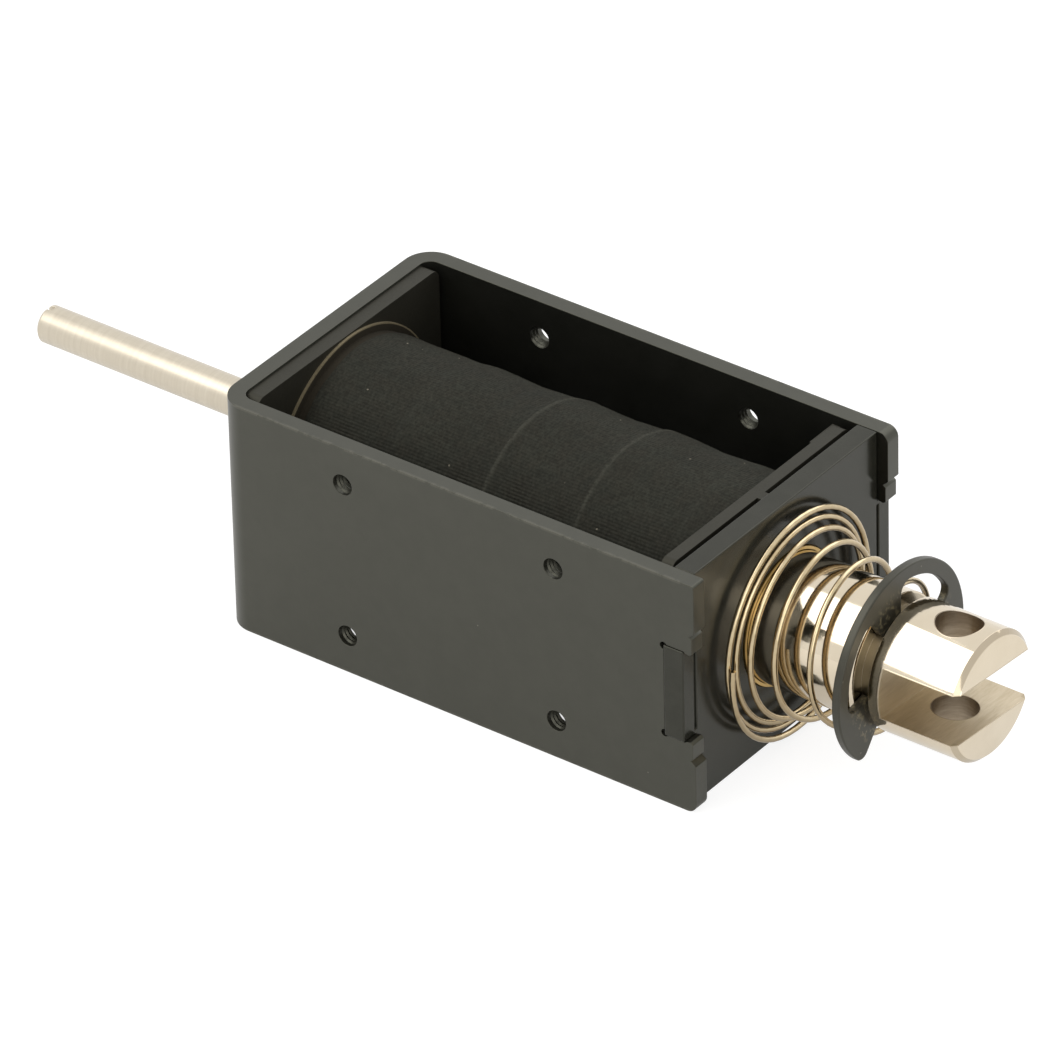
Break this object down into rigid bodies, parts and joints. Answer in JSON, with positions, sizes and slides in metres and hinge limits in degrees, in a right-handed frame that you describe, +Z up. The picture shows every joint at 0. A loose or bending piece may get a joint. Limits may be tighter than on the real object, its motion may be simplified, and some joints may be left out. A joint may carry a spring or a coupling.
{
  "type": "push pull solenoid",
  "caption": "Open-frame push-pull solenoid: taped coil in a bent steel frame, sprung plunger with a clevis end, and a push rod out of the base.",
  "frame": {"origin": "on the plunger's axis, at the outer face of the frame's base wall", "axes": "+X along the plunger, out of its clevis end; +Y across the frame's legs; +Z up, square to the open top of the frame"},
  "size_m": [0.1274, 0.0376, 0.029],
  "materials": {
    "black_steel": "satin",
    "black_plastic": "matte",
    "tan_paper": "matte",
    "enamelled_copper": "gloss",
    "black_cloth_tape": "matte",
    "brass": "satin",
    "core_steel": "satin",
    "nickel_plate": "polished",
    "rod_steel": "satin",
    "dark_ring_steel": "satin",
    "spring_wire": "polished"
  },
  "bodies": {
    "frame": {"frame_yoke": "black_steel", "end_plate": "black_steel", "bobbin": "black_plastic", "end_washer": "tan_paper", "coil_winding": "enamelled_copper", "coil_wrap": "tan_paper", "coil_tape": "black_cloth_tape", "guide_tube": "brass", "pole_piece": "core_steel", "shim": "brass", "return_spring": "spring_wire"},
    "clip": {"retaining_clip": "dark_ring_steel"},
    "plunger": {"plunger": "nickel_plate", "push_rod": "rod_steel"}
  },
  "joints": [
    {"name": "plunger_slide", "type": "slide", "parent": "frame", "child": "clip", "axis": [-1, 0, 0], "range_m": [0, 0.01], "stiffness_N_per_m": 300, "deforming": ["return_spring"]},
    {"name": "plunger_turn", "type": "hinge", "parent": "clip", "child": "plunger", "pos_m": [0.07, 0, 0], "axis": [1, 0, 0], "continuous": true}
  ]
}
